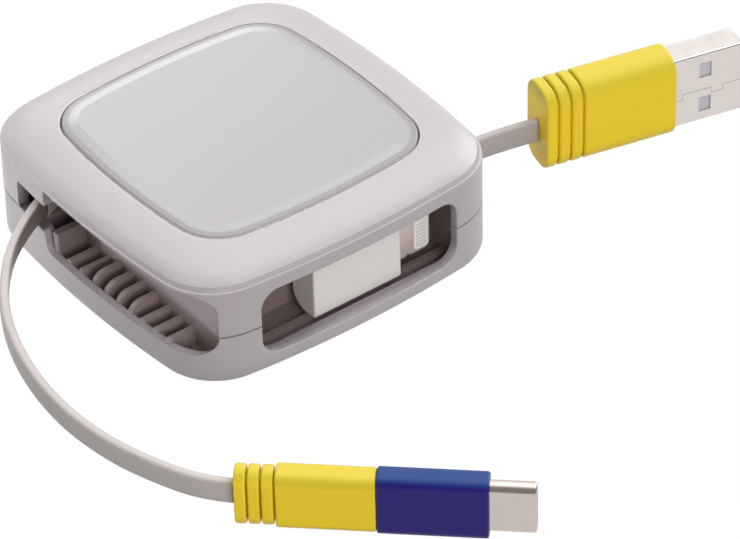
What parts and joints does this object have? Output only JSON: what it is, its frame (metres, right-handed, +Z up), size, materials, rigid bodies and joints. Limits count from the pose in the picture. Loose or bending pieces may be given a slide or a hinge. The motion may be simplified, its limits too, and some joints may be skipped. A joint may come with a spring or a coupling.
{
  "type": "retractable charging cable",
  "caption": "Square domed case with a spring reel and a flat charging cable that pulls out on both sides, with host plug, device plug, pushed-on oval adapter and stowed phone adapter.",
  "frame": {"origin": "centre of the case's underside", "axes": "+Z up through the case, -X towards the side with the ribbed pocket, -Y towards the open bay"},
  "size_m": [0.1211, 0.1077, 0.0193],
  "materials": {
    "case_grey": "satin moulded, pale silver grey",
    "insert_grey": "polished, pale grey",
    "screw_steel": "plain steel",
    "reel_plastic": "moulded, dark grey",
    "spring_steel": "blued strip",
    "cable_grey": "soft matt jacket, warm grey",
    "grip_yellow": "soft-touch, yellow",
    "adapter_blue": "satin, deep blue",
    "adapter_cream": "satin, off-white",
    "plug_nickel": "nickel-plated sheet",
    "contact_gold": "gold-plated contacts",
    "tongue_pale": "moulded, off-white",
    "tongue_dark": "moulded, black"
  },
  "bodies": {
    "case": {"lower_shell": "case_grey", "upper_shell": "case_grey", "top_insert": "insert_grey", "case_screws": "screw_steel", "axle": "screw_steel", "host_lead_inner": "cable_grey", "device_lead_inner": "cable_grey", "device_lead": "cable_grey", "device_plug_grip": "grip_yellow", "device_plug_shell": "plug_nickel", "device_plug_insert": "tongue_dark", "device_plug_contacts": "contact_gold", "phone_adapter_body": "adapter_cream", "phone_adapter_blade": "plug_nickel", "phone_adapter_contact_frame": "tongue_pale", "phone_adapter_contacts": "contact_gold", "phone_adapter_socket": "plug_nickel", "phone_adapter_socket_tongue": "tongue_dark"},
    "reel": {"reel": "reel_plastic", "spring_cover": "reel_plastic", "power_spring": "spring_steel", "cable_winding": "cable_grey"},
    "latch": {"latch_ball": "screw_steel"},
    "host_plug": {"host_lead": "cable_grey", "host_plug_grip": "grip_yellow", "host_plug_shell": "plug_nickel", "host_plug_tongue": "tongue_pale", "host_plug_contacts": "contact_gold"},
    "oval_adapter": {"oval_adapter_body": "adapter_blue", "oval_adapter_nose": "plug_nickel", "oval_adapter_insert": "tongue_dark", "oval_adapter_contacts": "contact_gold", "oval_adapter_socket": "plug_nickel", "oval_adapter_socket_tongue": "tongue_dark"}
  },
  "joints": [
    {"name": "reel_turn", "type": "hinge", "parent": "case", "child": "reel", "pos_m": [0.003, 0.0045, 0.0095], "axis": [0, 0, 1], "range_deg": [-36, 1224], "deforming": ["power_spring"]},
    {"name": "host_pull", "type": "slide", "parent": "case", "child": "host_plug", "axis": [0.9711, -0.2385, 0], "range_m": [-0.00856, 0.29056], "deforming": ["host_lead"]},
    {"name": "latch_slide", "type": "slide", "parent": "case", "child": "latch", "axis": [0.5878, 0.809, 0], "range_m": [-0.0013, 0]},
    {"name": "oval_adapter_pull", "type": "slide", "parent": "case", "child": "oval_adapter", "axis": [0.7278, -0.6858, 0], "range_m": [0, 0.012]}
  ],
  "couplings": [
    {"joint": "host_pull", "follows": "reel_turn", "m_per_rad": 0.0136}
  ]
}
